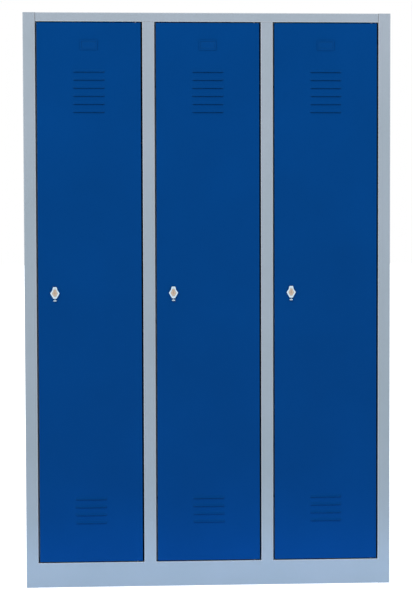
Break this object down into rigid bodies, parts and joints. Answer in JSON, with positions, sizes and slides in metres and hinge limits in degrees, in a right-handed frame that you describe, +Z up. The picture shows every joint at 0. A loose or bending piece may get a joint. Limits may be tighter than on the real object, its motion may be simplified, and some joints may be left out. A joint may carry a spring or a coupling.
{
  "type": "locker cabinet",
  "caption": "Full-height steel clothes locker with side-by-side louvred doors, each with a diamond-shaped turn latch, over hat shelves and coat rails.",
  "frame": {"origin": "on the floor at the centre of the case, midway between the sides and midway between the front frame and the rear edge of the sides", "axes": "+Z up, -Y out of the front through the doors, +X to the right as seen from the front"},
  "size_m": [1.15, 0.5138, 1.8],
  "materials": {
    "carcass_paint": "satin light blue-grey powder coat",
    "door_paint": "satin deep blue powder coat",
    "latch_chrome": "bright chrome plate on a zinc casting",
    "rail_steel": "bright plated tube",
    "zinc_fixings": "zinc plated",
    "bush_nylon": "natural nylon",
    "buffer_rubber": "matt"
  },
  "bodies": {
    "case": {"side_left": "carcass_paint", "side_right": "carcass_paint", "back_panel": "carcass_paint", "top_panel": "carcass_paint", "floor_panel": "carcass_paint", "partition_left": "carcass_paint", "partition_right": "carcass_paint", "stile_left": "carcass_paint", "stile_right": "carcass_paint", "mullion_left": "carcass_paint", "mullion_right": "carcass_paint", "top_rail": "carcass_paint", "plinth_front": "carcass_paint", "plinth_rear": "carcass_paint", "stop_strip_left": "carcass_paint", "stop_strip_middle": "carcass_paint", "stop_strip_right": "carcass_paint", "hat_shelf_left": "carcass_paint", "hat_shelf_middle": "carcass_paint", "hat_shelf_right": "carcass_paint", "coat_rail_left": "rail_steel", "coat_rail_middle": "rail_steel", "coat_rail_right": "rail_steel", "rail_sockets": "rail_steel", "coat_hook_left": "zinc_fixings", "coat_hook_middle": "zinc_fixings", "coat_hook_right": "zinc_fixings", "hook_screws": "zinc_fixings", "shelf_rivets": "zinc_fixings", "back_rivets": "zinc_fixings", "hinge_bushes": "bush_nylon", "door_buffers": "buffer_rubber"},
    "door_left": {"door_panel_left": "door_paint", "door_stiffener_left": "door_paint", "label_holder_left": "door_paint", "hinge_pins_left": "zinc_fixings", "lock_plate_left": "latch_chrome", "lock_nut_left": "zinc_fixings"},
    "latch_left": {"lock_knob_left": "latch_chrome", "lock_cam_left": "zinc_fixings", "cam_screw_left": "zinc_fixings"},
    "door_middle": {"door_panel_middle": "door_paint", "door_stiffener_middle": "door_paint", "label_holder_middle": "door_paint", "hinge_pins_middle": "zinc_fixings", "lock_plate_middle": "latch_chrome", "lock_nut_middle": "zinc_fixings"},
    "latch_middle": {"lock_knob_middle": "latch_chrome", "lock_cam_middle": "zinc_fixings", "cam_screw_middle": "zinc_fixings"},
    "door_right": {"door_panel_right": "door_paint", "door_stiffener_right": "door_paint", "label_holder_right": "door_paint", "hinge_pins_right": "zinc_fixings", "lock_plate_right": "latch_chrome", "lock_nut_right": "zinc_fixings"},
    "latch_right": {"lock_knob_right": "latch_chrome", "lock_cam_right": "zinc_fixings", "cam_screw_right": "zinc_fixings"}
  },
  "joints": [
    {"name": "door_left_hinge", "type": "hinge", "parent": "case", "child": "door_left", "pos_m": [-0.225, -0.242, 0.925], "axis": [0, 0, 1], "range_deg": [0, 110]},
    {"name": "latch_left_turn", "type": "hinge", "parent": "door_left", "child": "latch_left", "pos_m": [-0.48, -0.25, 0.925], "axis": [0, 1, 0], "range_deg": [0, 90]},
    {"name": "door_middle_hinge", "type": "hinge", "parent": "case", "child": "door_middle", "pos_m": [0.1455, -0.242, 0.925], "axis": [0, 0, 1], "range_deg": [0, 110]},
    {"name": "latch_middle_turn", "type": "hinge", "parent": "door_middle", "child": "latch_middle", "pos_m": [-0.1095, -0.25, 0.925], "axis": [0, 1, 0], "range_deg": [0, 90]},
    {"name": "door_right_hinge", "type": "hinge", "parent": "case", "child": "door_right", "pos_m": [0.516, -0.242, 0.925], "axis": [0, 0, 1], "range_deg": [0, 110]},
    {"name": "latch_right_turn", "type": "hinge", "parent": "door_right", "child": "latch_right", "pos_m": [0.261, -0.25, 0.925], "axis": [0, 1, 0], "range_deg": [0, 90]}
  ]
}
